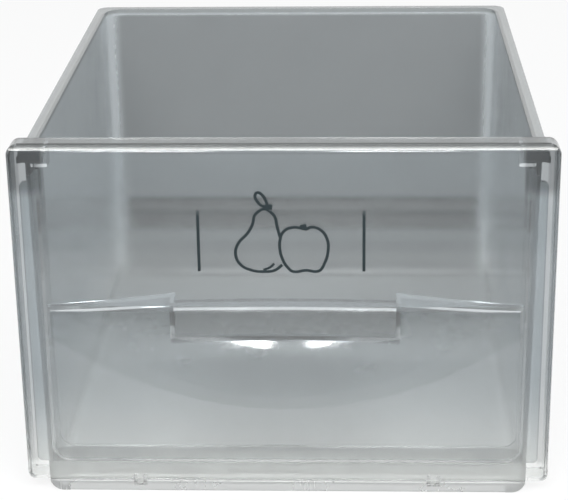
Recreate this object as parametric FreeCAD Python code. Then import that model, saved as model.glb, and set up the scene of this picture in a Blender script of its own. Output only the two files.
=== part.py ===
import FreeCAD, Part
import math
import os

# Clear crisper drawer in two mouldings: an open-fronted tub and a front panel that plugs into its mouth.
# Sizes are in millimetres. X is the width and Z is up.
# While drawing, Y = 0 is the outer face of the front panel and Y grows towards the back of the tub.
# The parts are moved at the end so that the origin lies under the middle of the whole drawer.

V = FreeCAD.Vector

# Overall size
WIDTH = 300.0
DEPTH = 340.0
HEIGHT = 210.0

# Tub walls
WALL = 2.3
BASE_HALF = 137.3
SIDE_DRAFT = 0.0113
RIM_TOP = 203.7
BACK_INNER_TOP = 332.9
BACK_DRAFT = 0.016
CORNER_ROUND = 12.0
FLOOR_ROUND = 5.7
MOUTH_Y = 2.6

# Steps low on the back wall
UPPER_STEP_TOP = 60.0
UPPER_STEP_FOOT = 54.0
UPPER_STEP_IN = 3.0
LOWER_STEP_TOP = 50.0
LOWER_STEP_FOOT = 41.0
LOWER_STEP_IN = 4.0
STEP_ROUND = 2.5

# Soft ramp across the floor
FLOOR_RISE = 3.0
RAMP_START = 175.0
RAMP_END = 206.0
RAMP_ROUND = 60.0

# Rim of the tub
RIM_HALF = 144.3
RIM_CORNER = 8.0
RIM_THICK = 2.3
RIM_LIP_DROP = 4.0
RIM_LIP_THICK = 2.0
RIM_EDGE_ROUND = 0.9

# Sill across the mouth and the low skirt in front of it
SILL_TOP = 18.0
SILL_BACK = 20.0
SILL_FOOT = 24.0
SILL_ROUND = 2.4
CHANNEL_HALF = 126.0
SHELF_TOP = 6.5
SKIRT_FRONT = 0.3
SILL_END_ROUND = 10.0

# Upright flanges and ears at the mouth
FLANGE_HALF = 143.8
FLANGE_FOOT = 18.5
FLANGE_TOP = 189.0
FLANGE_ROUND = 3.0
EAR_INNER = 130.0
EAR_OUTER = 143.5
EAR_FOOT = 200.0
EAR_TOP = 205.4
EAR_BACK = 12.0

# Front panel plate and its turned-back edges
PANEL_THICK = 2.5
PANEL_FOOT = 6.8
EDGE_THICK = 2.4
RETURN_BACK = 15.0
TOP_CORNER = 6.0
FOOT_CORNER = 4.0
FRONT_ROUND = 2.4
TOP_ROUND = 5.0
PLAN_CORNER = 5.0
FOOT_RETURN_INNER = 138.5

# U-shaped rib that locates the panel in the mouth
RIB_OUTER = 134.8
RIB_THICK = 2.0
RIB_BACK = 19.0
RIB_FOOT = 18.4
RIB_TOP = 196.5
RIB_CORNER = 10.0

# Sockets for the ears
SOCKET_INNER = 127.6
SOCKET_OUTER = 136.6
SOCKET_FOOT = 197.5
SOCKET_THICK = 2.0
SOCKET_BACK = 12.0

# Dished finger pull
DISH_AXIS_Z = 239.4
DISH_RADIUS = 210.0
DISH_BOWL = 139.0
DISH_HALF = 131.0
DISH_ROOF = 113.0
DISH_DEEPEST_RADIUS = 118.0
PAD_HALF = 65.0
PAD_FOOT = 90.0
PAD_DEPTH = 12.0
PAD_BOW = 705.0

# Tongues on the panel's lower edge and the notches that take them
TONGUE_X = 84.6
TONGUE_WIDE = 3.6
NOTCH_WIDE = 7.6
TONGUE_FOOT = 4.0
NOTCH_FOOT = 3.5
SLIT_TOP = 10.0

# Length by which cutting solids pass beyond a surface
OVER = 5.0


def box(x0, x1, y0, y1, z0, z1):
    """Box between two corners."""
    return Part.makeBox(x1 - x0, y1 - y0, z1 - z0, V(x0, y0, z0))


def pair(solid):
    """A solid and its mirror image across the middle plane."""
    return [solid, solid.mirror(V(0, 0, 0), V(1, 0, 0))]


def rounded_wire(corners, radii):
    """Closed outline through the corners with a tangent arc of the given radius at each."""
    starts = []
    ends = []
    middles = []
    count = len(corners)
    for i in range(count):
        corner = corners[i]
        before = (corners[i - 1] - corner).normalize()
        after = (corners[(i + 1) % count] - corner).normalize()
        half_angle = before.getAngle(after) / 2.0
        reach = radii[i] / math.tan(half_angle)
        bisector = (before + after).normalize()
        starts.append(corner + before * reach)
        ends.append(corner + after * reach)
        middles.append(corner + bisector * (radii[i] / math.sin(half_angle) - radii[i]))
    edges = []
    for i in range(count):
        if radii[i] > 0:
            edges.append(Part.Arc(starts[i], middles[i], ends[i]).toShape())
        following = starts[(i + 1) % count]
        if (following - ends[i]).Length > 1e-6:
            edges.append(Part.makeLine(ends[i], following))
    return Part.Wire(edges)


def prism_y(points, radii, y0, y1):
    """Outline of (x, z) points drawn at y0 and carried back to y1."""
    wire = rounded_wire([V(x, y0, z) for x, z in points], radii)
    return Part.Face(wire).extrude(V(0, y1 - y0, 0))


def prism_x(points, radii, half):
    """Outline of (y, z) points carried across the width from -half to half."""
    wire = rounded_wire([V(-half, y, z) for y, z in points], radii)
    return Part.Face(wire).extrude(V(2 * half, 0, 0))


def prism_z(points, radii, z0, z1):
    """Outline of (x, y) points carried up from z0 to z1."""
    wire = rounded_wire([V(x, y, z0) for x, y in points], radii)
    return Part.Face(wire).extrude(V(0, 0, z1 - z0))


def side_half(z):
    """Outer half width of the tub at height z."""
    return BASE_HALF + SIDE_DRAFT * z


def back_inner(z, step):
    """Inner face of the back wall at height z, brought forward by a step."""
    return BACK_INNER_TOP - BACK_DRAFT * (RIM_TOP - z) - step


def corner_edges(solid):
    """The two upright edges at the back of a scoop."""
    found = []
    for edge in solid.Edges:
        bounds = edge.BoundBox
        if bounds.ZLength > HEIGHT / 2 and bounds.YMin > DEPTH / 2:
            found.append(edge)
    return found


def floor_edges(solid, floor_z):
    """Edges around the foot of a tub solid, left, right and back."""
    found = []
    for edge in solid.Edges:
        bounds = edge.BoundBox
        low = bounds.ZMax < floor_z + FLOOR_RISE + 0.1
        across_front = bounds.YMax < MOUTH_Y + 0.1
        runs_inside = bounds.XMax - bounds.XMin > BASE_HALF and bounds.YMax < BACK_INNER_TOP - 20
        if low and not across_front and not runs_inside:
            found.append(edge)
    return found


def back_steps(shrink, floor_z):
    """Solid behind the stepped lower part of the back wall, to be cut from a scoop."""
    def back(z, step):
        return back_inner(z, step) + WALL - shrink

    both = UPPER_STEP_IN + LOWER_STEP_IN
    foot_z = floor_z + FLOOR_RISE
    foot_round = FLOOR_ROUND + WALL - shrink
    slope = (UPPER_STEP_TOP - UPPER_STEP_FOOT) / UPPER_STEP_IN
    points = [
        (back(foot_z, both) - foot_round, foot_z),
        (back(foot_z, both), foot_z),
        (back(LOWER_STEP_FOOT, both), LOWER_STEP_FOOT),
        (back(LOWER_STEP_TOP, UPPER_STEP_IN), LOWER_STEP_TOP),
        (back(UPPER_STEP_FOOT, UPPER_STEP_IN), UPPER_STEP_FOOT),
        (back(UPPER_STEP_TOP, 0.0) + OVER, UPPER_STEP_TOP + OVER * slope),
        (DEPTH + 2 * OVER, UPPER_STEP_TOP + OVER * slope),
        (DEPTH + 2 * OVER, foot_z - 2 * OVER),
        (back(foot_z, both) - foot_round, foot_z - 2 * OVER),
    ]
    radii = [0, foot_round * 0.999, STEP_ROUND, STEP_ROUND, STEP_ROUND, 0, 0, 0, 0]
    return prism_x(points, radii, WIDTH / 2)


def tub_solid(shrink, front, top, floor_z):
    """Solid scoop with drafted sides, round back corners, stepped back and ramped floor."""
    foot_half = side_half(floor_z) - shrink
    top_half = side_half(top) - shrink
    foot_back = back_inner(floor_z, 0.0) + WALL - shrink
    top_back = back_inner(top, 0.0) + WALL - shrink
    front_view = [(-foot_half, floor_z), (foot_half, floor_z), (top_half, top), (-top_half, top)]
    side_view = [
        (front, floor_z),
        (RAMP_START, floor_z),
        (RAMP_END, floor_z + FLOOR_RISE),
        (foot_back + BACK_DRAFT * FLOOR_RISE, floor_z + FLOOR_RISE),
        (top_back, top),
        (front, top),
    ]
    solid = prism_y(front_view, [0, 0, 0, 0], front, DEPTH + OVER)
    solid = solid.common(prism_x(side_view, [0, RAMP_ROUND, RAMP_ROUND, 0, 0, 0], WIDTH / 2))
    solid = solid.makeFillet(CORNER_ROUND + WALL - shrink, corner_edges(solid))
    solid = solid.makeFillet(FLOOR_ROUND + WALL - shrink, floor_edges(solid, floor_z))
    return solid.cut(back_steps(shrink, floor_z))


def tub_walls():
    """Thin walls of the scoop, open at the top and at the front."""
    outer = tub_solid(0.0, SKIRT_FRONT, RIM_TOP, 0.0)
    inner = tub_solid(WALL, -OVER, RIM_TOP + OVER, WALL)
    walls = outer.cut(inner)
    half = WIDTH / 2
    above_skirt = box(-half, half, -OVER, MOUTH_Y, SHELF_TOP, HEIGHT)
    front_floor = box(-CHANNEL_HALF, CHANNEL_HALF, -OVER, SILL_FOOT, -OVER, SILL_TOP - WALL)
    return walls.cut(above_skirt).cut(front_floor), inner


def rim(inner):
    """Turned-out rim with a short downward lip, rounded along its top edges."""
    def outline(inset, z0, z1):
        half = RIM_HALF - inset
        back = DEPTH - inset
        points = [(-half, MOUTH_Y), (half, MOUTH_Y), (half, back), (-half, back)]
        round_back = RIM_CORNER - inset
        return prism_z(points, [0, 0, round_back, round_back], z0, z1)

    solid = outline(0.0, RIM_TOP - RIM_LIP_DROP, RIM_TOP)
    under = outline(RIM_LIP_THICK, RIM_TOP - RIM_LIP_DROP - OVER, RIM_TOP - RIM_THICK)
    solid = solid.cut(under).cut(inner)
    top_edges = []
    for edge in solid.Edges:
        bounds = edge.BoundBox
        if bounds.ZMin > RIM_TOP - 0.01 and bounds.YMax > MOUTH_Y + 0.1:
            top_edges.append(edge)
    return solid.makeFillet(RIM_EDGE_ROUND, top_edges)


def front_clip(y0, y1):
    """Block whose ends lie within the thickness of the side walls and of their rounded feet."""
    half = BASE_HALF - WALL / 2
    points = [(-half, 0.0), (half, 0.0), (half, SILL_TOP + OVER), (-half, SILL_TOP + OVER)]
    return prism_y(points, [SILL_END_ROUND, SILL_END_ROUND, 0, 0], y0, y1)


def sill():
    """Raised channel across the mouth with a shelf and a low skirt under the panel."""
    lean = WALL * 1.03
    channel_top = SILL_TOP - WALL
    inner_y = MOUTH_Y + WALL
    points = [
        (SILL_FOOT + OVER, WALL),
        (SILL_FOOT, WALL),
        (SILL_BACK, SILL_TOP),
        (MOUTH_Y, SILL_TOP),
        (MOUTH_Y, SHELF_TOP),
        (SKIRT_FRONT, SHELF_TOP),
        (SKIRT_FRONT, 0.0),
        (SKIRT_FRONT + WALL, 0.0),
        (SKIRT_FRONT + WALL, SHELF_TOP - WALL),
        (inner_y, SHELF_TOP - WALL),
        (inner_y, channel_top),
        (SILL_BACK - lean, channel_top),
        (SILL_FOOT - lean, 0.0),
        (SILL_FOOT + OVER, 0.0),
    ]
    radii = [0, SILL_ROUND, SILL_ROUND, 1.0, 0.2, 1.0, 0.5, 0.5, 0.5, 0, 0, 0.8, 0.5, 0]
    return prism_x(points, radii, WIDTH / 2).common(front_clip(SKIRT_FRONT, SILL_FOOT + OVER))


def flange():
    """Upright flange beside the mouth, rounded at its upper outer corner."""
    root = BASE_HALF - 0.5
    points = [
        (root, FLANGE_FOOT),
        (FLANGE_HALF, FLANGE_FOOT),
        (FLANGE_HALF, FLANGE_TOP),
        (root, FLANGE_TOP),
    ]
    blank = prism_y(points, [0, FLANGE_ROUND, FLANGE_ROUND, 0], MOUTH_Y, MOUTH_Y + WALL)
    return blank


def ear():
    """Flat ear at the front end of the rim."""
    points = [
        (EAR_INNER, MOUTH_Y),
        (EAR_OUTER, MOUTH_Y),
        (EAR_OUTER, EAR_BACK),
        (EAR_INNER, EAR_BACK),
    ]
    return prism_z(points, [1.0, 1.0, 0, 3.0], EAR_FOOT, EAR_TOP)


def notch():
    """Notch through the skirt that takes a tongue of the panel."""
    x0 = TONGUE_X - NOTCH_WIDE / 2
    return box(x0, x0 + NOTCH_WIDE, -OVER, MOUTH_Y, NOTCH_FOOT, SHELF_TOP + OVER)


def tub():
    """Whole tub moulding."""
    walls, inner = tub_walls()
    additions = [rim(inner), sill()]
    additions += pair(flange().cut(inner))
    additions += pair(ear())
    body = walls.fuse(additions)
    for cutter in pair(notch()):
        body = body.cut(cutter)
    return body.removeSplitter()


def panel_blank(inset, y0, y1):
    """Front view of the panel as a block, drawn in from its edge by an inset."""
    half = WIDTH / 2 - inset
    foot = PANEL_FOOT + inset
    top = HEIGHT - inset
    foot_round = FOOT_CORNER - inset
    top_round = TOP_CORNER - inset
    points = [(-half, foot), (half, foot), (half, top), (-half, top)]
    return prism_y(points, [foot_round, foot_round, top_round, top_round], y0, y1)


def above_rolled_edge(front, top, radius):
    """Space outside a rolled front top edge, to be cut from a block."""
    half = WIDTH / 2 + OVER
    sine = math.sin(math.pi / 4)
    low = V(-half, front, top - radius)
    middle = V(-half, front + radius * (1 - sine), top - radius * (1 - sine))
    high = V(-half, front + radius, top)
    corners = [
        high,
        V(-half, front + radius, top + OVER),
        V(-half, front - OVER, top + OVER),
        V(-half, front - OVER, top - radius),
        low,
    ]
    edges = [Part.Arc(low, middle, high).toShape()]
    for i in range(len(corners) - 1):
        edges.append(Part.makeLine(corners[i], corners[i + 1]))
    return Part.Face(Part.Wire(edges)).extrude(V(2 * half, 0, 0))


def panel_shell():
    """Flat plate with its edges turned back at the top, the sides and the lower corners."""
    solid = panel_blank(0.0, 0.0, RETURN_BACK)
    front_edges = [edge for edge in solid.Edges if edge.BoundBox.YMax < 0.01]
    solid = solid.makeFillet(FRONT_ROUND, front_edges)
    solid = solid.cut(above_rolled_edge(0.0, HEIGHT, TOP_ROUND))
    hollow = panel_blank(EDGE_THICK, PANEL_THICK, RETURN_BACK + OVER)
    hollow = hollow.cut(above_rolled_edge(PANEL_THICK, HEIGHT - EDGE_THICK, TOP_ROUND - PANEL_THICK))
    solid = solid.cut(hollow)
    inner = FOOT_RETURN_INNER
    solid = solid.cut(box(-inner, inner, PANEL_THICK, RETURN_BACK + OVER, 0, HEIGHT / 2))
    half = WIDTH / 2
    plan = [(-half, -OVER), (half, -OVER), (half, RETURN_BACK), (-half, RETURN_BACK)]
    return solid.common(prism_z(plan, [0, 0, PLAN_CORNER, PLAN_CORNER], 0, HEIGHT))


def locating_rib():
    """U-shaped rib behind the plate that plugs into the mouth of the tub."""
    def outline(inset, top, y0, y1):
        half = RIB_OUTER - inset
        foot = RIB_FOOT + inset
        points = [(-half, foot), (half, foot), (half, top), (-half, top)]
        corner = RIB_CORNER - inset
        return prism_y(points, [corner, corner, 0, 0], y0, y1)

    solid = outline(0.0, RIB_TOP, PANEL_THICK, RIB_BACK)
    return solid.cut(outline(RIB_THICK, RIB_TOP + OVER, 0.0, RIB_BACK + OVER))


def socket():
    """Two short ribs that carry one ear of the tub."""
    side = box(SOCKET_INNER, SOCKET_INNER + SOCKET_THICK, PANEL_THICK, SOCKET_BACK, SOCKET_FOOT,
               HEIGHT - EDGE_THICK)
    shelf = box(SOCKET_INNER, SOCKET_OUTER, PANEL_THICK, SOCKET_BACK, SOCKET_FOOT,
                SOCKET_FOOT + SOCKET_THICK)
    return side.fuse(shelf)


def dish_revolve(offset, front):
    """Bowl whose rim runs smoothly into the plate, turned about an axis that runs front to back."""
    round_radius = DISH_BOWL - offset

    def arc_point(r):
        return V(r, DISH_BOWL - math.sqrt(round_radius ** 2 - (DISH_RADIUS - r) ** 2), DISH_AXIS_Z)

    start = arc_point(DISH_RADIUS)
    end = arc_point(DISH_DEEPEST_RADIUS)
    middle = arc_point((DISH_RADIUS + DISH_DEEPEST_RADIUS) / 2)
    edges = [
        Part.Arc(start, middle, end).toShape(),
        Part.makeLine(end, V(end.x, front, DISH_AXIS_Z)),
        Part.makeLine(V(end.x, front, DISH_AXIS_Z), V(start.x, front, DISH_AXIS_Z)),
        Part.makeLine(V(start.x, front, DISH_AXIS_Z), start),
    ]
    face = Part.Face(Part.Wire(edges))
    return face.revolve(V(0, 0, DISH_AXIS_Z), V(0, 1, 0), 180)


def pad_block(half, depth, foot, top):
    """Space behind the bowed face of the centre pad."""
    centre_y = PAD_DEPTH - PAD_BOW
    radius = depth - centre_y
    drum = Part.makeCylinder(radius, top - foot, V(0, centre_y, foot), V(0, 0, 1))
    return box(-half, half, 0.0, DEPTH / 4, foot, top).cut(drum)


def dish():
    """Outer and inner solids of the dished finger pull."""
    low = PANEL_FOOT + OVER
    skin = PANEL_THICK
    cavity = dish_revolve(0.0, -OVER)
    cavity = cavity.common(box(-DISH_HALF, DISH_HALF, -OVER, DEPTH / 4, low, DISH_ROOF))
    cavity = cavity.cut(pad_block(PAD_HALF, PAD_DEPTH, PAD_FOOT, DISH_ROOF + OVER))
    half = DISH_HALF + skin
    bulk = dish_revolve(skin, 0.0)
    bulk = bulk.common(box(-half, half, 0.0, DEPTH / 4, low, DISH_ROOF + skin))
    recess = pad_block(PAD_HALF - skin, PAD_DEPTH + skin, PAD_FOOT + skin, DISH_ROOF + OVER)
    return bulk.cut(recess), cavity


def tongue():
    """Springy tongue that reaches down from the plate's lower edge."""
    x0 = TONGUE_X - TONGUE_WIDE / 2
    return box(x0, x0 + TONGUE_WIDE, SKIRT_FRONT, PANEL_THICK - 0.1, TONGUE_FOOT, SLIT_TOP)


def slits():
    """Two slits that free the tongue from the plate."""
    found = []
    for side in (-1, 1):
        inner = TONGUE_X + side * TONGUE_WIDE / 2
        outer = TONGUE_X + side * NOTCH_WIDE / 2
        found.append(box(min(inner, outer), max(inner, outer), -OVER, PANEL_THICK + OVER, 0, SLIT_TOP))
    return found


def front_panel():
    """Whole front moulding."""
    bulk, cavity = dish()
    parts = [locating_rib(), bulk]
    parts += pair(socket())
    parts += pair(tongue())
    body = panel_shell().fuse(parts).cut(cavity)
    for slit in slits():
        for cutter in pair(slit):
            body = body.cut(cutter)
    return body.removeSplitter()


def export(name, shape):
    """Move a part to the shared origin and write it."""
    if not shape.isValid() or len(shape.Solids) != 1:
        raise RuntimeError(name + " is not one valid solid")
    solid = shape.Solids[0].copy()
    solid.translate(V(0, -DEPTH / 2, 0))
    solid.exportStep("parts/" + name + ".step")


os.makedirs("parts", exist_ok=True)
export("tub", tub())
export("front_panel", front_panel())
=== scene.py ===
"""Clear crisper drawer: moulded plastic finishes, the printed fruit sign, a stage, lamps and a camera."""

import math

import bpy
from mathutils import Matrix, Vector


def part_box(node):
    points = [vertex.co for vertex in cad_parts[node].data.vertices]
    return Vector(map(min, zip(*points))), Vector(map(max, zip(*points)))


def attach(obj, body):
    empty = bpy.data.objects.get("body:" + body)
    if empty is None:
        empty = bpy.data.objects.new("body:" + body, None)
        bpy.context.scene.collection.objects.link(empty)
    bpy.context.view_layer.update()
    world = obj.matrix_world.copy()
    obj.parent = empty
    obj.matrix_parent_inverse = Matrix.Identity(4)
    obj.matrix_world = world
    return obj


bl_info = {
    "name": "Crisper drawer",
    "version": (1, 0, 0),
    "blender": (4, 5, 0),
    "location": "View3D > Sidebar > Crisper drawer",
    "description": "Finishes and printed sign for a clear crisper drawer",
    "category": "Object",
}

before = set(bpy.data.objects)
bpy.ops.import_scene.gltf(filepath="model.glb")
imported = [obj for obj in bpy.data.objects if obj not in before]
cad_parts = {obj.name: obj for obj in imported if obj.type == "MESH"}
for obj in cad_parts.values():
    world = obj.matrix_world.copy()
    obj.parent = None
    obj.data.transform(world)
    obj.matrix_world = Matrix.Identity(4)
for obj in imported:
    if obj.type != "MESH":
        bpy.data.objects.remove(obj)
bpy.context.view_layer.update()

MM = 0.001
PANEL_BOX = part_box("front_panel")
TUB_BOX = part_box("tub")
FRONT_Y = PANEL_BOX[0][1]
FLOOR_Z = TUB_BOX[0][2]

# Places where shade is painted into the tub's colour: (middle, half width, soft edge) along one axis in
# millimetres

BACK_MIDDLE_X = (0.0, 127.0, 9.0)
BACK_WALL_Y = (160.0, 11.0, 3.0)
BACK_WALL_Z = (100.0, 98.0, 3.0)
STEP_LENGTH_X = (0.0, 125.0, 7.0)
LOWER_STEP_Z = (45.9, 3.4, 2.0)
UPPER_STEP_Z = (59.0, 2.6, 2.0)
BOTH_STEPS_Z = (51.5, 10.0, 2.0)
BACK_FOOT_Z = (21.5, 9.0, 2.0)
FAR_END_Y = (170.0, 60.0, 200.0)
TUB_FLOOR_Z = (0.0, 8.0, 10.0)
SKIRT_Y = (-170.0, 2.6, 0.4)
SKIRT_Z = (0.0, 6.2, 0.3)
MOUTH_Y = (-165.0, 14.0, 1.0)
EARS_Z = (204.0, 11.0, 1.0)
STEP_SHARES = ((LOWER_STEP_Z, 0.85), (UPPER_STEP_Z, 0.95), (BOTH_STEPS_Z, 0.95), (BACK_FOOT_Z, 0.25))

# Places where shade is painted into the front panel's colour, in the same form

PAD_X = (0.0, 64.0, 1.2)
PAD_Z = (102.0, 11.6, 1.2)
BETWEEN_SOCKETS_X = (0.0, 130.0, 2.0)
SOCKETS_Z = (196.0, 9.0, 8.0)
BETWEEN_STRIPS_X = (0.0, 142.6, 1.4)
FRONT_PLATE_Y = (-169.0, 2.2, 0.6)
STRIPS_Z = (115.0, 94.0, 4.0)
LOW_MIDDLE_X = (0.0, 20.0, 60.0)
LOW_MIDDLE_Z = (54.0, 25.0, 6.0)

# Painted shade at the edges of a moulding, in metres

BRIM_FADE = 2.0 * MM
FLANK_RANGE = (137.0 * MM, 142.0 * MM)

# Handling marks: (scale, detail, roughness) of each noise, and the ranges that are cut out of them

WAVES = (14.0, 1.0, 0.5)
PATCHES = (32.0, 5.0, 0.6)
SCRATCHES = (4.0, 2.0, 0.5)
SCRATCH_TURN = (0.3, 0.5, 0.2)
SCRATCH_STRETCH = (260.0, 30.0, 18.0)
SCRATCH_RANGE = (0.66, 0.74)
SCRATCH_HEIGHT = -0.02
RUBBED_RANGE = (0.42, 0.72)
TINT_RANGE = (0.96, 1.04)

# Print: noise of the ink, its paler colour and its roughness, and widths of lines in metres

SPECKLE = (900.0, 4.0, 0.5)
THIN_INK = 1.8
INK_ROUGHNESS = (0.35, 0.6)
INK_REFLECTION = 0.2
PEAR_STALK_WIDTH = 3.2 * MM
PEAR_CREASE_WIDTH = 1.4 * MM
APPLE_STALK_WIDTH = 3.6 * MM
PATH_STEPS = 10
ROUND_STEPS = 2
MERGE_DISTANCE = 0.001 * MM

# Stage, in metres and degrees

STAGE_WIDTH = 8.0
STAGE_GAP = 0.2 * MM
STAGE_WHITE = 0.8
ROOM_COLOUR = (0.97, 0.99, 1.0, 1.0)
WHITE = (1.0, 1.0, 1.0, 1.0)
SHEET_ROUGHNESS = 0.9
SHEET_GLOW_COLOUR = (1.0, 0.99, 0.94, 1.0)
# Sheets seen only as mirror images: the grey and dark ones paint dark reflections, the glowing pale card
# paints the highlight on the rolled top edge
SHEETS = (
    # name, tone, width and length, middle above the floor, tilt
    ("grey_mat", 0.10, (3.0, 2.1), (0.0, -1.6, 0.0), 0.0),
    ("grey_card", 0.12, (4.0, 0.85), (0.0, -2.65, 0.425), 90.0),
    ("dark_card", 0.03, (4.0, 1.6), (0.0, -2.65, 1.65), 90.0),
    ("pale_card", 0.8, (3.0, 1.6), (0.0, -1.42, 1.95), 35.0),
)
GLOWING_SHEET = "pale_card"
LARGE_LAMP_PLACE = (0.15, -1.55, 1.75)
LARGE_LAMP_SIZE = (2.4, 0.8)
LARGE_LAMP_AIM_Z = 0.1
SMALL_LAMPS = (
    # name, azimuth from the front, elevation
    ("lamp_small_left", 2.9, 24.6),
    ("lamp_small_right", -9.4, 24.5),
)
SMALL_LAMP_SIZE = (0.24, 0.15)
SMALL_LAMP_DISTANCE = 2.4
SMALL_LAMP_AIM_Z = 0.08
SENSOR_WIDTH_MM = 36.0
CLIP_START = 0.01


# Settings

class PlasticSettings(bpy.types.PropertyGroup):
    """Smoky clear plastic of the two mouldings, with light and shade painted into its colour."""

    panel_colour: bpy.props.FloatVectorProperty(
        name="Panel colour", description="Tint of the front panel near its top",
        subtype="COLOR", size=3, min=0, max=1, default=(0.68, 0.72, 0.74))
    # Painted light: the panel's tint is painted paler towards its foot
    panel_foot_colour_with_painted_light: bpy.props.FloatVectorProperty(
        name="Panel foot colour", description="Tint of the front panel near its foot",
        subtype="COLOR", size=3, min=0, max=1, default=(0.98, 0.99, 0.98))
    tub_colour: bpy.props.FloatVectorProperty(
        name="Tub colour", description="Tint of the tub's walls near the rim",
        subtype="COLOR", size=3, min=0, max=1, default=(0.71, 0.75, 0.77))
    # Painted light: the tub's tint is painted paler towards its floor and front sill
    tub_foot_colour_with_painted_light: bpy.props.FloatVectorProperty(
        name="Tub foot colour", description="Tint of the tub near its floor and its front sill",
        subtype="COLOR", size=3, min=0, max=1, default=(0.97, 0.98, 0.97))
    # Painted shade: the panel's rolled top edge is painted darker
    panel_edge_colour_with_painted_shade: bpy.props.FloatVectorProperty(
        name="Panel edge colour", description="Tint of the panel's rolled top edge",
        subtype="COLOR", size=3, min=0, max=1, default=(0.36, 0.38, 0.38))
    # Painted shade: the tub's rim is painted darker
    rim_colour_with_painted_shade: bpy.props.FloatVectorProperty(
        name="Rim colour", description="Tint of the tub's rim",
        subtype="COLOR", size=3, min=0, max=1, default=(0.50, 0.52, 0.52))
    # pad_shade, socket_shade, strip_shade and centre_shade set how much shade is painted into the front
    # panel's colour
    pad_shade: bpy.props.FloatProperty(
        name="Pad shade", description="How much darker the thick centre pad of the pull is",
        subtype="FACTOR", min=0, max=1, default=0.28)
    socket_shade: bpy.props.FloatProperty(
        name="Socket shade", description="How much darker the panel's two ear sockets are",
        subtype="FACTOR", min=0, max=1, default=0.38)
    strip_shade: bpy.props.FloatProperty(
        name="Strip shade", description="How much darker the panel's front is beside the tub",
        subtype="FACTOR", min=0, max=1, default=0.26)
    centre_shade: bpy.props.FloatProperty(
        name="Centre shade", description="How much darker the low middle of the panel is",
        subtype="FACTOR", min=0, max=1, default=0.13)
    # back_shade, floor_shade, ear_shade, skirt_shade and step_shade set how much shade is painted into the
    # tub's colour
    back_shade: bpy.props.FloatProperty(
        name="Back shade", description="How much darker the back wall is than the side walls",
        subtype="FACTOR", min=0, max=1, default=0.53)
    floor_shade: bpy.props.FloatProperty(
        name="Floor shade", description="How much darker the far end of the tub's floor is",
        subtype="FACTOR", min=0, max=1, default=0.34)
    ear_shade: bpy.props.FloatProperty(
        name="Ear shade", description="How much darker the two ears at the rim's front ends are",
        subtype="FACTOR", min=0, max=1, default=0.58)
    skirt_shade: bpy.props.FloatProperty(
        name="Skirt shade", description="How much darker the low skirt under the panel is",
        subtype="FACTOR", min=0, max=1, default=0.30)
    # Painted shade on the back wall's steps and, at a smaller share, on the band below them
    step_shade: bpy.props.FloatProperty(
        name="Step shade", description="How much darker the thick steps of the back wall are",
        subtype="FACTOR", min=0, max=1, default=0.84)
    panel_clearness: bpy.props.FloatProperty(
        name="Panel clearness", description="Share of the light that passes the panel without scattering",
        subtype="FACTOR", min=0, max=1, default=0.93)
    tub_clearness: bpy.props.FloatProperty(
        name="Tub clearness", description="Share of the light that passes the tub without scattering",
        subtype="FACTOR", min=0, max=1, default=0.64)
    smoke_colour: bpy.props.FloatVectorProperty(
        name="Smoke colour", description="Colour that stays in a thick piece of the tub's plastic",
        subtype="COLOR", size=3, min=0, max=1, default=(0.60, 0.64, 0.66))
    smoke_density: bpy.props.FloatProperty(
        name="Smoke density", description="How fast the tub's plastic darkens with thickness, per metre",
        min=0, default=160.0)
    # Height above which the painted light at the foot has faded out
    tint_height: bpy.props.FloatProperty(
        name="Tint height", description="Height at which the tint is full", subtype="DISTANCE",
        default=80.0 * MM)
    # tub_brim and panel_brim set the height at which the painted edge shade is full
    tub_brim: bpy.props.FloatProperty(
        name="Tub brim", description="Height at which the tub's rim has its own tint in full",
        subtype="DISTANCE", default=202.0 * MM)
    panel_brim: bpy.props.FloatProperty(
        name="Panel brim", description="Height at which the panel's top edge has its own tint in full",
        subtype="DISTANCE", default=209.0 * MM)
    # Share of the painted edge shade at the panel's two sides
    panel_flank: bpy.props.FloatProperty(
        name="Panel flank", description="Share of the edge tint at the panel's two sides",
        subtype="FACTOR", min=0, max=1, default=0.10)
    tub_rubbing: bpy.props.FloatProperty(
        name="Tub rubbing", description="Roughness that rubbed patches and scratches add to the tub",
        subtype="FACTOR", min=0, max=1, default=0.10)
    panel_rubbing: bpy.props.FloatProperty(
        name="Panel rubbing", description="Roughness that rubbed patches and scratches add to the panel",
        subtype="FACTOR", min=0, max=1, default=0.06)
    tub_waves: bpy.props.FloatProperty(
        name="Tub waves", description="Depth of the slight waves in the tub's surface",
        subtype="DISTANCE", default=0.12 * MM)
    panel_waves: bpy.props.FloatProperty(
        name="Panel waves", description="Depth of the slight waves in the panel's surface",
        subtype="DISTANCE", default=0.06 * MM)
    dull_places: bpy.props.FloatProperty(
        name="Dull places", description="Roughness that the darkest places of the tub add",
        subtype="FACTOR", min=0, max=1, default=0.4)
    ior: bpy.props.FloatProperty(
        name="Refraction", description="Index of refraction of the plastic", min=1, max=2, default=1.57)
    panel_roughness: bpy.props.FloatProperty(
        name="Panel roughness", description="Roughness of the polished panel",
        subtype="FACTOR", min=0, max=1, default=0.06)
    tub_roughness: bpy.props.FloatProperty(
        name="Tub roughness", description="Roughness of the rubbed tub",
        subtype="FACTOR", min=0, max=1, default=0.14)


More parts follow.
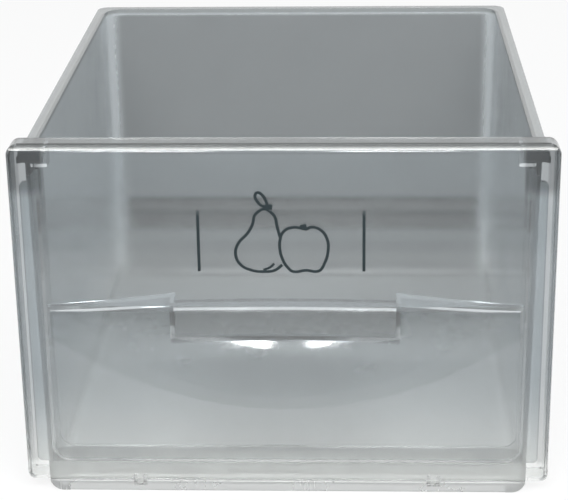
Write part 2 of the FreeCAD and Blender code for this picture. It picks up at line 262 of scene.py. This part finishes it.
class SignSettings(bpy.types.PropertyGroup):
    """Printed sign on the front panel."""

    ink_colour: bpy.props.FloatVectorProperty(
        name="Ink colour", description="Colour of the printed lines",
        subtype="COLOR", size=3, min=0, max=1, default=(0.012, 0.019, 0.022))
    line_width: bpy.props.FloatProperty(
        name="Line width", description="Width of a printed line", subtype="DISTANCE", default=1.65 * MM)
    ink_height: bpy.props.FloatProperty(
        name="Ink height", description="Height of the ink above the panel",
        subtype="DISTANCE", default=0.02 * MM)
    bar_left: bpy.props.FloatProperty(
        name="Left bar", description="Place of the left bar", subtype="DISTANCE", default=-46.5 * MM)
    bar_right: bpy.props.FloatProperty(
        name="Right bar", description="Place of the right bar", subtype="DISTANCE", default=44.3 * MM)
    foot: bpy.props.FloatProperty(
        name="Foot", description="Height of the sign's lower edge", subtype="DISTANCE", default=137.4 * MM)
    bar_length: bpy.props.FloatProperty(
        name="Bar length", description="Length of each bar", subtype="DISTANCE", default=35.5 * MM)


class StageSettings(bpy.types.PropertyGroup):
    """Floor, lamps and camera."""

    floor_colour: bpy.props.FloatVectorProperty(
        name="Floor colour", description="Colour of the floor and backdrop",
        subtype="COLOR", size=3, min=0, max=1, default=(0.86, 0.86, 0.86))
    room_level: bpy.props.FloatProperty(
        name="Room level", description="Brightness of the room around the stage", min=0, default=0.66)
    lamp_power: bpy.props.FloatProperty(
        name="Lamp power", description="Power of the large soft lamp", subtype="POWER", default=44.0)
    spot_power: bpy.props.FloatProperty(
        name="Small lamp power", description="Power of each of the two small lamps",
        subtype="POWER", default=5.0)
    # The pale card's glow paints the highlight on the rolled top edge
    card_glow: bpy.props.FloatProperty(
        name="Card glow", description="Brightness of the pale card that the rolled top edge mirrors",
        min=0, default=5.5)
    camera_place: bpy.props.FloatVectorProperty(
        name="Camera place", description="Where the camera stands", subtype="TRANSLATION", size=3,
        default=(39.87 * MM, -1090.07 * MM, 510.18 * MM))
    camera_pitch: bpy.props.FloatProperty(
        name="Camera pitch", description="How far the camera looks down",
        subtype="ANGLE", default=math.radians(21.3612))
    camera_yaw: bpy.props.FloatProperty(
        name="Camera yaw", description="How far the camera looks to the right",
        subtype="ANGLE", default=math.radians(-2.4519))
    camera_roll: bpy.props.FloatProperty(
        name="Camera roll", description="Tilt of the camera about its own axis",
        subtype="ANGLE", default=math.radians(-0.8374))
    camera_lens: bpy.props.FloatProperty(
        name="Lens", description="Focal length on a 36 mm wide sensor, in millimetres", default=114.246)


# Shader helpers

def group_socket(group, name, way, kind, default=None):
    """Adds a named input or output to a node group."""
    socket = group.interface.new_socket(name=name, in_out=way, socket_type=kind)
    if default is not None:
        socket.default_value = default


def place(tree, kind, **values):
    """Adds a node and sets its plain attributes."""
    node = tree.nodes.new(kind)
    for key, value in values.items():
        setattr(node, key, value)
    return node


def feed(tree, socket, value):
    """Links another node's output to an input, or sets the input to a plain value."""
    if isinstance(value, bpy.types.NodeSocket):
        tree.links.new(value, socket)
    else:
        socket.default_value = value


def maths(tree, operation, *values):
    """Result of one sum with outputs or plain numbers."""
    node = place(tree, "ShaderNodeMath", operation=operation)
    for socket, value in zip(node.inputs, values):
        feed(tree, socket, value)
    return node.outputs["Value"]


def remap(tree, value, source=(0.0, 1.0), target=(0.0, 1.0), kind="LINEAR"):
    """A value moved from one range to another and kept inside it."""
    node = place(tree, "ShaderNodeMapRange", interpolation_type=kind)
    feed(tree, node.inputs["Value"], value)
    for name, limit in zip(("From Min", "From Max", "To Min", "To Max"), (*source, *target)):
        feed(tree, node.inputs[name], limit)
    return node.outputs["Result"]


def noise(tree, where, form):
    """Noise with the given scale, detail and roughness."""
    node = place(tree, "ShaderNodeTexNoise")
    for name, value in zip(("Scale", "Detail", "Roughness"), form):
        node.inputs[name].default_value = value
    tree.links.new(where, node.inputs["Vector"])
    return node.outputs["Fac"]


def blend(tree, share, first, second):
    """Colour that goes from the first to the second with the share."""
    node = place(tree, "ShaderNodeMix", data_type="RGBA")
    feed(tree, node.inputs["Factor"], share)
    feed(tree, node.inputs["A"], first)
    feed(tree, node.inputs["B"], second)
    return node.outputs["Result"]


def scaled(tree, colour, factor):
    """Colour multiplied by a factor."""
    node = place(tree, "ShaderNodeVectorMath", operation="SCALE")
    tree.links.new(colour, node.inputs[0])
    tree.links.new(factor, node.inputs["Scale"])
    return node.outputs["Vector"]


def object_place(tree):
    """Place in the object's own frame."""
    return place(tree, "ShaderNodeTexCoord").outputs["Object"]


def object_axes(tree):
    """Outputs for X, Y and Z in the object's own frame."""
    split = place(tree, "ShaderNodeSeparateXYZ")
    tree.links.new(object_place(tree), split.inputs["Vector"])
    return split.outputs["X"], split.outputs["Y"], split.outputs["Z"]


def empty_material(name):
    """A new material and its node tree without nodes."""
    material = bpy.data.materials.new(name)
    material.use_nodes = True
    material.node_tree.nodes.clear()
    return material, material.node_tree


def show_surface(tree, shader, kind="ShaderNodeOutputMaterial"):
    """Adds the output node and links the shader to its surface."""
    output = place(tree, kind)
    tree.links.new(shader, output.inputs["Surface"])
    return output


# Plastic

def handling_marks_group():
    """Surface of used clear plastic: slight waves, rubbed patches and fine scratches."""
    group = bpy.data.node_groups.new("handling_marks", "ShaderNodeTree")
    group_socket(group, "Polish", "INPUT", "NodeSocketFloat", 0.06)
    group_socket(group, "Rubbing", "INPUT", "NodeSocketFloat", 0.1)
    group_socket(group, "Tint", "INPUT", "NodeSocketColor", (0.5, 0.5, 0.5, 1))
    group_socket(group, "Colour", "OUTPUT", "NodeSocketColor")
    group_socket(group, "Roughness", "OUTPUT", "NodeSocketFloat")
    group_socket(group, "Height", "OUTPUT", "NodeSocketFloat")
    entry = place(group, "NodeGroupInput")
    leave = place(group, "NodeGroupOutput")
    where = object_place(group)
    waves = noise(group, where, WAVES)
    patches = noise(group, where, PATCHES)

    stretch = place(group, "ShaderNodeMapping")
    stretch.inputs["Rotation"].default_value = SCRATCH_TURN
    stretch.inputs["Scale"].default_value = SCRATCH_STRETCH
    group.links.new(where, stretch.inputs["Vector"])
    scratches = remap(group, noise(group, stretch.outputs["Vector"], SCRATCHES), SCRATCH_RANGE)

    marks = maths(group, "MAXIMUM", remap(group, patches, RUBBED_RANGE), scratches)
    rough = maths(group, "MULTIPLY_ADD", marks, entry.outputs["Rubbing"], entry.outputs["Polish"])
    shade = remap(group, patches, target=TINT_RANGE)
    tinted = scaled(group, entry.outputs["Tint"], shade)
    height = maths(group, "MULTIPLY_ADD", scratches, SCRATCH_HEIGHT, waves)
    group.links.new(tinted, leave.inputs["Colour"])
    group.links.new(rough, leave.inputs["Roughness"])
    group.links.new(height, leave.inputs["Height"])
    return group


def tint_and_painted_shading_group():
    """Tint with painted light and shade: painted paler towards the foot, turning to a darker painted edge
    shade at the brim and the flanks.
    """
    group = bpy.data.node_groups.new("tint_depth", "ShaderNodeTree")
    group_socket(group, "Edge", "INPUT", "NodeSocketColor", (0.5, 0.5, 0.5, 1))
    group_socket(group, "Top", "INPUT", "NodeSocketColor", (0.5, 0.5, 0.5, 1))
    group_socket(group, "Foot", "INPUT", "NodeSocketColor", (0.8, 0.8, 0.8, 1))
    group_socket(group, "Height", "INPUT", "NodeSocketFloat", 0.1)
    group_socket(group, "Brim", "INPUT", "NodeSocketFloat", 0.2)
    group_socket(group, "Flank", "INPUT", "NodeSocketFloat", 0.0)
    group_socket(group, "Colour", "OUTPUT", "NodeSocketColor")
    entry = place(group, "NodeGroupInput").outputs
    leave = place(group, "NodeGroupOutput")
    x, _, z = object_axes(group)
    rise = remap(group, z, (0.0, entry["Height"]), kind="SMOOTHSTEP")
    below_brim = maths(group, "SUBTRACT", entry["Brim"], BRIM_FADE)
    brim = remap(group, z, (below_brim, entry["Brim"]), kind="SMOOTHSTEP")
    aside = maths(group, "ABSOLUTE", x)
    flank = remap(group, aside, FLANK_RANGE, (0.0, entry["Flank"]), "SMOOTHSTEP")
    edges = maths(group, "MAXIMUM", brim, flank)
    body = blend(group, rise, entry["Foot"], entry["Top"])
    group.links.new(blend(group, edges, body, entry["Edge"]), leave.inputs["Colour"])
    return group


def inside_band(tree, value, band):
    """Mask of 1 within half of the band's middle that falls to 0 over the band's soft edge."""
    middle, half, soft = band
    off = maths(tree, "ABSOLUTE", maths(tree, "SUBTRACT", value, middle * MM))
    return remap(tree, off, (half * MM, half * MM + soft * MM), (1.0, 0.0), "SMOOTHSTEP")


def outside_band(tree, value, band):
    """Mask of 0 inside the band that rises to 1 over the band's soft edge."""
    return maths(tree, "SUBTRACT", 1.0, inside_band(tree, value, band))


def darkened(tree, places):
    """Multiplier of 1 that is lower by each shade where all masks of its place are 1."""
    factor = 1.0
    for masks, shade in places:
        product = masks[0]
        for mask in masks[1:]:
            product = maths(tree, "MULTIPLY", product, mask)
        lower = maths(tree, "MULTIPLY_ADD", product, -shade, 1.0)
        factor = maths(tree, "MULTIPLY", factor, lower)
    return factor


def painted_tub_shade(tree, plastic):
    """Multiplier of painted shade: lower on the tub's back wall, steps, far floor, front skirt and ears."""
    x, y, z = object_axes(tree)
    back = inside_band(tree, y, BACK_WALL_Y)
    middle = inside_band(tree, x, BACK_MIDDLE_X)
    places = [((middle, back, inside_band(tree, z, BACK_WALL_Z)), plastic.back_shade)]
    length = inside_band(tree, x, STEP_LENGTH_X)
    for step, share in STEP_SHARES:
        places.append(((back, length, inside_band(tree, z, step)), share * plastic.step_shade))
    for y_band, z_band, shade in (
        (FAR_END_Y, TUB_FLOOR_Z, plastic.floor_shade),
        (SKIRT_Y, SKIRT_Z, plastic.skirt_shade),
        (MOUTH_Y, EARS_Z, plastic.ear_shade),
    ):
        places.append(((inside_band(tree, y, y_band), inside_band(tree, z, z_band)), shade))
    return darkened(tree, places)


def painted_panel_shade(tree, plastic):
    """Multiplier of painted shade: lower on the panel's pad, ear sockets, side strips and low middle."""
    x, y, z = object_axes(tree)
    pad = (inside_band(tree, x, PAD_X), inside_band(tree, z, PAD_Z))
    sockets = (outside_band(tree, x, BETWEEN_SOCKETS_X), inside_band(tree, z, SOCKETS_Z))
    strips = (
        outside_band(tree, x, BETWEEN_STRIPS_X),
        inside_band(tree, y, FRONT_PLATE_Y),
        inside_band(tree, z, STRIPS_Z),
    )
    low_middle = (inside_band(tree, x, LOW_MIDDLE_X), inside_band(tree, z, LOW_MIDDLE_Z))
    return darkened(tree, (
        (pad, plastic.pad_shade),
        (sockets, plastic.socket_shade),
        (strips, plastic.strip_shade),
        (low_middle, plastic.centre_shade),
    ))


def clear_plastic(name, colours, brim, flank, clearness, polish, rubbing, wave_depth):
    """Smoky clear plastic with its top tint, painted edge shade, painted paler foot, polish, rubbing and
    depth of waves.
    """
    plastic = bpy.context.scene.drawer_plastic
    material, tree = empty_material(name)
    # Painted light and shade: paler towards the foot, darker at the brim and the flanks
    shading_group = bpy.data.node_groups.get("tint_depth") or tint_and_painted_shading_group()
    tint = place(tree, "ShaderNodeGroup", node_tree=shading_group)
    for socket, colour in zip(("Edge", "Top", "Foot"), colours):
        tint.inputs[socket].default_value = (*colour, 1.0)
    tint.inputs["Height"].default_value = plastic.tint_height
    tint.inputs["Brim"].default_value = brim
    tint.inputs["Flank"].default_value = flank
    marks_group = bpy.data.node_groups.get("handling_marks") or handling_marks_group()
    marks = place(tree, "ShaderNodeGroup", node_tree=marks_group, name="handling_marks")
    marks.inputs["Polish"].default_value = polish
    marks.inputs["Rubbing"].default_value = rubbing
    tree.links.new(tint.outputs["Colour"], marks.inputs["Tint"])
    bump = place(tree, "ShaderNodeBump")
    bump.inputs["Strength"].default_value = 1.0
    bump.inputs["Distance"].default_value = wave_depth
    tree.links.new(marks.outputs["Height"], bump.inputs["Height"])
    skin = place(tree, "ShaderNodeBsdfPrincipled")
    skin.inputs["Transmission Weight"].default_value = clearness
    skin.inputs["IOR"].default_value = plastic.ior
    tree.links.new(marks.outputs["Roughness"], skin.inputs["Roughness"])
    tree.links.new(bump.outputs["Normal"], skin.inputs["Normal"])
    show_surface(tree, skin.outputs["BSDF"])
    return material


def shade_plastic(tree, shades):
    """Feeds the plastic's tint, multiplied by the painted shade, to its shader."""
    tint = tree.nodes["handling_marks"].outputs["Colour"]
    skin = tree.nodes["Principled BSDF"]
    tree.links.new(scaled(tree, tint, shades), skin.inputs["Base Color"])


def printed_ink():
    """Dark grey ink, a little uneven where the print is thin."""
    sign = bpy.context.scene.drawer_sign
    material, tree = empty_material("printed_ink")
    speckle = noise(tree, object_place(tree), SPECKLE)
    full = (*sign.ink_colour, 1.0)
    thin = (*[c * THIN_INK for c in sign.ink_colour], 1.0)
    skin = place(tree, "ShaderNodeBsdfPrincipled")
    skin.inputs["Specular IOR Level"].default_value = INK_REFLECTION
    tree.links.new(blend(tree, speckle, full, thin), skin.inputs["Base Color"])
    tree.links.new(remap(tree, speckle, target=INK_ROUGHNESS), skin.inputs["Roughness"])
    show_surface(tree, skin.outputs["BSDF"])
    return material


# Sign

def ink_line(name, points, closed, width=None):
    """A printed line along a smooth path of (x, z) points in millimetres on the panel's front."""
    sign = bpy.context.scene.drawer_sign
    curve = bpy.data.curves.new(name, "CURVE")
    curve.dimensions = "3D"
    curve.resolution_u = PATH_STEPS
    curve.bevel_depth = (width or sign.line_width) / 2
    curve.bevel_resolution = ROUND_STEPS
    curve.use_fill_caps = True
    spline = curve.splines.new("BEZIER")
    spline.bezier_points.add(len(points) - 1)
    for bezier, (x, z) in zip(spline.bezier_points, points):
        bezier.co = (x * MM, 0.0, z * MM)
        bezier.handle_left_type = "AUTO"
        bezier.handle_right_type = "AUTO"
    spline.use_cyclic_u = closed
    line = bpy.data.objects.new(name, curve)
    bpy.context.collection.objects.link(line)
    return line


def print_on_panel(name, lines):
    """Makes one flat piece of ink from lines, lays it on the panel's front and lets it ride there."""
    sign = bpy.context.scene.drawer_sign
    bpy.ops.object.select_all(action="DESELECT")
    for line in lines:
        line.select_set(True)
    bpy.context.view_layer.objects.active = lines[0]
    bpy.ops.object.convert(target="MESH")
    bpy.ops.object.join()
    piece = bpy.context.view_layer.objects.active
    piece.name = name
    piece.data.name = name
    flat = 2 * sign.ink_height / sign.line_width
    piece.data.transform(Matrix.Diagonal((1.0, flat, 1.0, 1.0)))
    piece.data.transform(Matrix.Translation((0.0, FRONT_Y, 0.0)))
    bpy.ops.object.mode_set(mode="EDIT")
    bpy.ops.mesh.select_all(action="SELECT")
    bpy.ops.mesh.remove_doubles(threshold=MERGE_DISTANCE)
    bpy.ops.mesh.normals_make_consistent(inside=False)
    bpy.ops.object.mode_set(mode="OBJECT")
    bpy.ops.object.shade_smooth()
    ink = bpy.data.materials.get("printed_ink") or printed_ink()
    piece.data.materials.clear()
    piece.data.materials.append(ink)
    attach(piece, "front_panel")
    bpy.ops.object.select_all(action="DESELECT")


class DRAWER_OT_finish_tub(bpy.types.Operator):
    """Give the tub its smoky, slightly rubbed clear plastic, with shade painted into its colour"""

    bl_idname = "drawer.finish_tub"
    bl_label = "Finish tub"

    def execute(self, context):
        plastic = context.scene.drawer_plastic
        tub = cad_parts["tub"]
        material = clear_plastic(
            "tub_smoky_plastic", (plastic.rim_colour_with_painted_shade, plastic.tub_colour, plastic.tub_foot_colour_with_painted_light),
            plastic.tub_brim, 0.0, plastic.tub_clearness, plastic.tub_roughness,
            plastic.tub_rubbing, plastic.tub_waves)
        tree = material.node_tree
        # Painted shade on the tub's back wall, steps, far floor, skirt and ears
        shades = painted_tub_shade(tree, plastic)
        shade_plastic(tree, shades)
        duller = maths(tree, "MULTIPLY_ADD", shades, -plastic.dull_places, plastic.dull_places)
        rough = maths(tree, "ADD", duller, tree.nodes["handling_marks"].outputs["Roughness"])
        tree.links.new(rough, tree.nodes["Principled BSDF"].inputs["Roughness"])
        smoke = place(tree, "ShaderNodeVolumeAbsorption")
        smoke.inputs["Color"].default_value = (*plastic.smoke_colour, 1.0)
        smoke.inputs["Density"].default_value = plastic.smoke_density
        tree.links.new(smoke.outputs["Volume"], tree.nodes["Material Output"].inputs["Volume"])
        for slot in tub.material_slots:
            slot.material = material
        return {"FINISHED"}


class DRAWER_OT_finish_panel(bpy.types.Operator):
    """Give the front panel its polished smoky clear plastic, with shade painted into its colour"""

    bl_idname = "drawer.finish_panel"
    bl_label = "Finish front panel"

    def execute(self, context):
        plastic = context.scene.drawer_plastic
        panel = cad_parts["front_panel"]
        material = clear_plastic(
            "panel_smoky_plastic",
            (plastic.panel_edge_colour_with_painted_shade, plastic.panel_colour, plastic.panel_foot_colour_with_painted_light),
            plastic.panel_brim, plastic.panel_flank, plastic.panel_clearness, plastic.panel_roughness,
            plastic.panel_rubbing, plastic.panel_waves)
        tree = material.node_tree
        # Painted shade on the panel's pad, ear sockets, side strips and low middle
        shade_plastic(tree, painted_panel_shade(tree, plastic))
        for slot in panel.material_slots:
            slot.material = material
        return {"FINISHED"}


class DRAWER_OT_print_bars(bpy.types.Operator):
    """Print the two upright bars of the sign"""

    bl_idname = "drawer.print_bars"
    bl_label = "Print bars"

    def execute(self, context):
        sign = context.scene.drawer_sign
        low = sign.foot / MM
        high = (sign.foot + sign.bar_length) / MM
        lines = []
        for side, x in (("left", sign.bar_left / MM), ("right", sign.bar_right / MM)):
            lines.append(ink_line("bar_" + side, [(x, low), (x, high)], False))
        print_on_panel("sign_bars", lines)
        return {"FINISHED"}


class DRAWER_OT_print_pear(bpy.types.Operator):
    """Print the pear with its leaf and stalk"""

    bl_idname = "drawer.print_pear"
    bl_label = "Print pear"

    def execute(self, context):
        body = [
            (-12.4, 173.2), (-15.4, 170.0), (-16.4, 165.4), (-19.4, 159.8), (-24.6, 153.8), (-26.2, 147.4),
            (-23.6, 141.4), (-17.8, 138.1), (-11.0, 137.2), (-4.6, 138.1), (-0.6, 141.2),
        ]
        right = [(-7.2, 172.8), (-4.4, 169.6), (-3.2, 164.0), (-1.6, 157.4)]
        crown = [(-12.4, 173.2), (-9.8, 174.0), (-7.2, 172.8)]
        leaf = [
            (-10.7, 175.6), (-13.6, 178.2), (-14.8, 182.0), (-13.4, 183.4), (-11.4, 182.4), (-9.2, 179.0),
            (-8.8, 176.2),
        ]
        stalk = [(-10.4, 174.3), (-8.0, 175.2), (-5.6, 175.0)]
        crease = [(-11.0, 138.2), (-7.0, 140.0), (-5.0, 142.0)]
        lines = [
            ink_line("pear_body", body, False),
            ink_line("pear_right", right, False),
            ink_line("pear_crown", crown, False),
            ink_line("pear_leaf", leaf, True),
            ink_line("pear_stalk", stalk, False, PEAR_STALK_WIDTH),
            ink_line("pear_crease", crease, False, PEAR_CREASE_WIDTH),
        ]
        print_on_panel("sign_pear", lines)
        return {"FINISHED"}


class DRAWER_OT_print_apple(bpy.types.Operator):
    """Print the apple with its stalk"""

    bl_idname = "drawer.print_apple"
    bl_label = "Print apple"

    def execute(self, context):
        body = [
            (10.8, 162.6), (5.0, 163.2), (0.4, 160.8), (-1.6, 156.0), (-1.8, 150.4), (-0.4, 144.6),
            (2.6, 139.4), (5.2, 137.3), (12.4, 138.0), (19.6, 137.7), (22.8, 142.4), (24.6, 149.0),
            (24.2, 156.2), (20.8, 161.6), (15.6, 163.4), (12.4, 162.2),
        ]
        stalk = [(11.6, 162.4), (10.9, 165.0)]
        lines = [
            ink_line("apple_body", body, True),
            ink_line("apple_stalk", stalk, False, APPLE_STALK_WIDTH),
        ]
        print_on_panel("sign_apple", lines)
        return {"FINISHED"}


# Stage

def white_rays(tree):
    """Value of 1 for rays that should meet a white room: seen directly, mirrored or through plastic."""
    path = place(tree, "ShaderNodeLightPath").outputs
    mirrored = maths(tree, "MAXIMUM", path["Is Camera Ray"], path["Is Glossy Ray"])
    return maths(tree, "MAXIMUM", mirrored, path["Is Transmission Ray"])


def mix_shaders(tree, share, first, second):
    """Shader that goes from the first to the second with the share."""
    mix = place(tree, "ShaderNodeMixShader")
    tree.links.new(share, mix.inputs["Fac"])
    tree.links.new(first, mix.inputs[1])
    tree.links.new(second, mix.inputs[2])
    return mix.outputs["Shader"]


def stage_material():
    """Pale floor that reads as white and keeps a soft shadow of the drawer."""
    stage = bpy.context.scene.drawer_stage
    material, tree = empty_material("stage_pale")
    paper = place(tree, "ShaderNodeBsdfDiffuse")
    paper.inputs["Color"].default_value = (*stage.floor_colour, 1.0)
    white = place(tree, "ShaderNodeEmission")
    white.inputs["Color"].default_value = WHITE
    seen = maths(tree, "MULTIPLY", white_rays(tree), STAGE_WHITE)
    show_surface(tree, mix_shaders(tree, seen, paper.outputs["BSDF"], white.outputs["Emission"]))
    return material


def room_world():
    """Even grey room that is white where it is seen directly, mirrored or through plastic."""
    world = bpy.data.worlds.new("studio_room")
    world.use_nodes = True
    tree = world.node_tree
    tree.nodes.clear()
    room = place(tree, "ShaderNodeBackground")
    room.inputs["Color"].default_value = ROOM_COLOUR
    room.inputs["Strength"].default_value = bpy.context.scene.drawer_stage.room_level
    white = place(tree, "ShaderNodeBackground")
    white.inputs["Color"].default_value = WHITE
    seen = mix_shaders(tree, white_rays(tree), room.outputs["Background"], white.outputs["Background"])
    show_surface(tree, seen, "ShaderNodeOutputWorld")
    bpy.context.scene.world = world


def mirrored_sheet(name, tone, glow, size, location, rotation):
    """Grey or glowing sheet in front of the drawer that shows only as a mirror image in the plastic: a
    painted reflection, and a painted highlight where it glows.
    """
    bpy.ops.object.select_all(action="DESELECT")
    bpy.ops.mesh.primitive_plane_add(size=1.0, location=location, rotation=rotation)
    sheet = bpy.context.active_object
    sheet.name = name
    sheet.scale = (*size, 1.0)
    bpy.ops.object.transform_apply(location=False, rotation=False, scale=True)
    material = bpy.data.materials.new(name + "_cloth")
    material.use_nodes = True
    skin = material.node_tree.nodes["Principled BSDF"]
    skin.inputs["Base Color"].default_value = (tone, tone, tone, 1.0)
    skin.inputs["Roughness"].default_value = SHEET_ROUGHNESS
    skin.inputs["Emission Color"].default_value = SHEET_GLOW_COLOUR
    skin.inputs["Emission Strength"].default_value = glow
    sheet.data.materials.append(material)
    sheet.visible_camera = False
    sheet.visible_diffuse = False
    sheet.visible_transmission = False
    sheet.visible_shadow = False


def soft_lamp(name, place_at, aim_at, size, power):
    """Oblong soft lamp that faces a point."""
    data = bpy.data.lights.new(name, "AREA")
    data.shape = "RECTANGLE"
    data.size, data.size_y = size
    data.energy = power
    lamp = bpy.data.objects.new(name, data)
    bpy.context.collection.objects.link(lamp)
    lamp.location = place_at
    lamp.rotation_euler = (Vector(aim_at) - Vector(place_at)).to_track_quat("-Z", "Y").to_euler()


class DRAWER_OT_build_stage(bpy.types.Operator):
    """Lay the pale floor and hang the lamps"""

    bl_idname = "drawer.build_stage"
    bl_label = "Build stage"

    def execute(self, context):
        stage = context.scene.drawer_stage
        bpy.ops.object.select_all(action="DESELECT")
        bpy.ops.mesh.primitive_plane_add(size=STAGE_WIDTH, location=(0.0, 0.0, FLOOR_Z - STAGE_GAP))
        floor = context.active_object
        floor.name = "stage_floor"
        floor.data.materials.append(stage_material())
        room_world()
        for name, tone, size, (x, y, z), tilt in SHEETS:
            glow = stage.card_glow if name == GLOWING_SHEET else 0.0
            turn = (math.radians(tilt), 0.0, 0.0)
            mirrored_sheet(name, tone, glow, size, (x, y, FLOOR_Z + z), turn)
        aim = (0.0, FRONT_Y, LARGE_LAMP_AIM_Z)
        soft_lamp("lamp_soft_top", LARGE_LAMP_PLACE, aim, LARGE_LAMP_SIZE, stage.lamp_power)
        aim = Vector((0.0, FRONT_Y, SMALL_LAMP_AIM_Z))
        for name, azimuth, elevation in SMALL_LAMPS:
            a = math.radians(azimuth)
            e = math.radians(elevation)
            away = Vector((math.cos(e) * math.sin(a), -math.cos(e) * math.cos(a), math.sin(e)))
            soft_lamp(name, aim + SMALL_LAMP_DISTANCE * away, aim, SMALL_LAMP_SIZE, stage.spot_power)
        return {"FINISHED"}


class DRAWER_OT_place_camera(bpy.types.Operator):
    """Stand the camera where the photograph was taken"""

    bl_idname = "drawer.place_camera"
    bl_label = "Place camera"

    def execute(self, context):
        stage = context.scene.drawer_stage
        pitch = stage.camera_pitch
        yaw = stage.camera_yaw
        ahead = Vector((math.sin(yaw) * math.cos(pitch), math.cos(yaw) * math.cos(pitch), -math.sin(pitch)))
        level = Vector((math.cos(yaw), -math.sin(yaw), 0.0))
        upright = level.cross(ahead)
        c = math.cos(stage.camera_roll)
        s = math.sin(stage.camera_roll)
        right = level * c + upright * s
        up = upright * c - level * s
        data = bpy.data.cameras.new("photo_camera")
        data.sensor_fit = "HORIZONTAL"
        data.sensor_width = SENSOR_WIDTH_MM
        data.lens = stage.camera_lens
        data.clip_start = CLIP_START
        camera = bpy.data.objects.new("photo_camera", data)
        context.collection.objects.link(camera)
        turn = Matrix((right, up, -ahead)).transposed().to_4x4()
        camera.matrix_world = Matrix.Translation(Vector(stage.camera_place)) @ turn
        context.scene.camera = camera
        context.scene.view_settings.view_transform = "Standard"
        return {"FINISHED"}


class DRAWER_PT_panel(bpy.types.Panel):
    """Lists the drawer's settings and steps"""

    bl_label = "Crisper drawer"
    bl_idname = "DRAWER_PT_panel"
    bl_space_type = "VIEW_3D"
    bl_region_type = "UI"
    bl_category = "Crisper drawer"

    def draw(self, context):
        scene = context.scene
        for settings in (scene.drawer_plastic, scene.drawer_sign, scene.drawer_stage):
            box = self.layout.box()
            for name in settings.__annotations__:
                box.prop(settings, name)
        for step in STEPS:
            self.layout.operator(step.bl_idname)


STEPS = (
    DRAWER_OT_finish_tub,
    DRAWER_OT_finish_panel,
    DRAWER_OT_print_bars,
    DRAWER_OT_print_pear,
    DRAWER_OT_print_apple,
    DRAWER_OT_build_stage,
    DRAWER_OT_place_camera,
)
SETTINGS = {
    "drawer_plastic": PlasticSettings,
    "drawer_sign": SignSettings,
    "drawer_stage": StageSettings,
}


def register():
    """Registers the settings, the steps and the sidebar panel."""
    for name, settings in SETTINGS.items():
        bpy.utils.register_class(settings)
        setattr(bpy.types.Scene, name, bpy.props.PointerProperty(type=settings))
    for step in STEPS:
        bpy.utils.register_class(step)
    bpy.utils.register_class(DRAWER_PT_panel)


def unregister():
    """Removes all that register added."""
    bpy.utils.unregister_class(DRAWER_PT_panel)
    for step in reversed(STEPS):
        bpy.utils.unregister_class(step)
    for name, settings in reversed(SETTINGS.items()):
        delattr(bpy.types.Scene, name)
        bpy.utils.unregister_class(settings)


def main():
    """Runs every step in order."""
    register()
    bpy.ops.drawer.finish_tub()
    bpy.ops.drawer.finish_panel()
    bpy.ops.drawer.print_bars()
    bpy.ops.drawer.print_pear()
    bpy.ops.drawer.print_apple()
    bpy.ops.drawer.build_stage()
    bpy.ops.drawer.place_camera()


if __name__ == "__main__":
    main()
